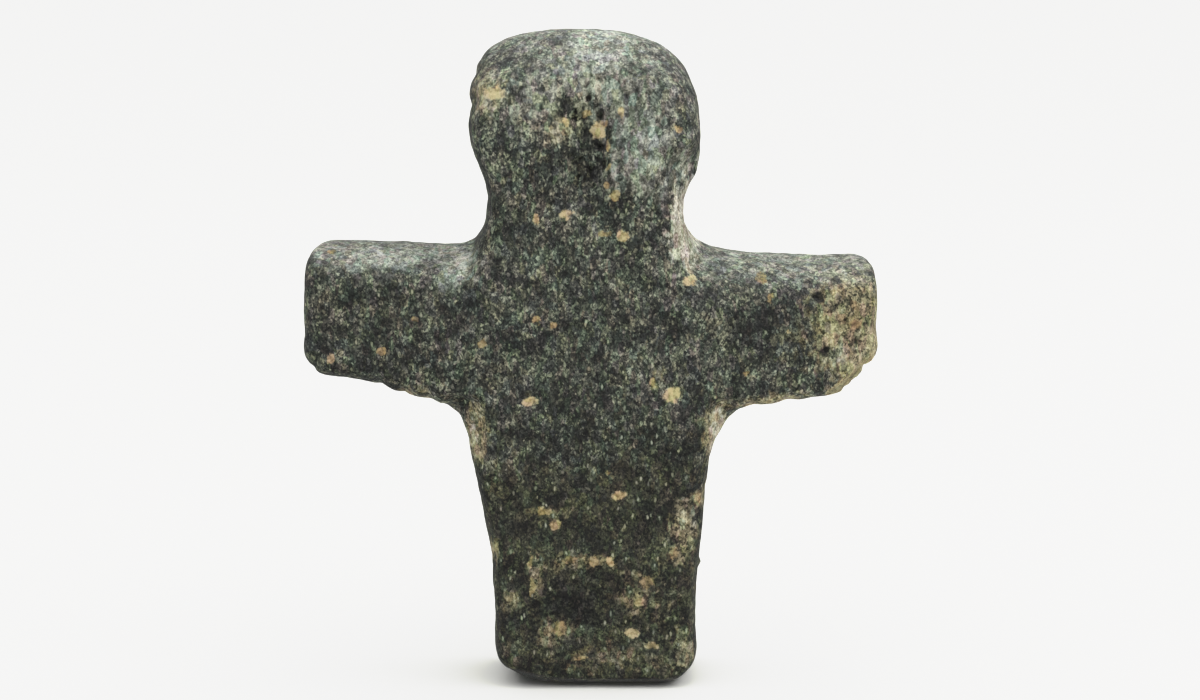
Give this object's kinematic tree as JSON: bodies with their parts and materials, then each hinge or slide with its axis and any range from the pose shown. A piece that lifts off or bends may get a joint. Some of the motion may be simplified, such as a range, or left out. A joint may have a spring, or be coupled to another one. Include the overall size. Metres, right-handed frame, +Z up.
{
  "type": "cruciform figurine",
  "caption": "Cross-shaped standing figurine ground from one block of dark speckled stone, with a blank domed head, stub arms and a flat foot.",
  "frame": {"origin": "on the ground under the middle of the figure's bounding box, on the flat underside of the foot", "axes": "+Z up from the foot to the head, front faces -Y, +X towards the viewer's right arm"},
  "size_m": [0.1758, 0.047, 0.2],
  "materials": {
    "stone": "pecked and ground, worn smooth, with a few broken edges"
  },
  "bodies": {
    "root": {"cruciform_figure": "stone"}
  },
  "joints": []
}
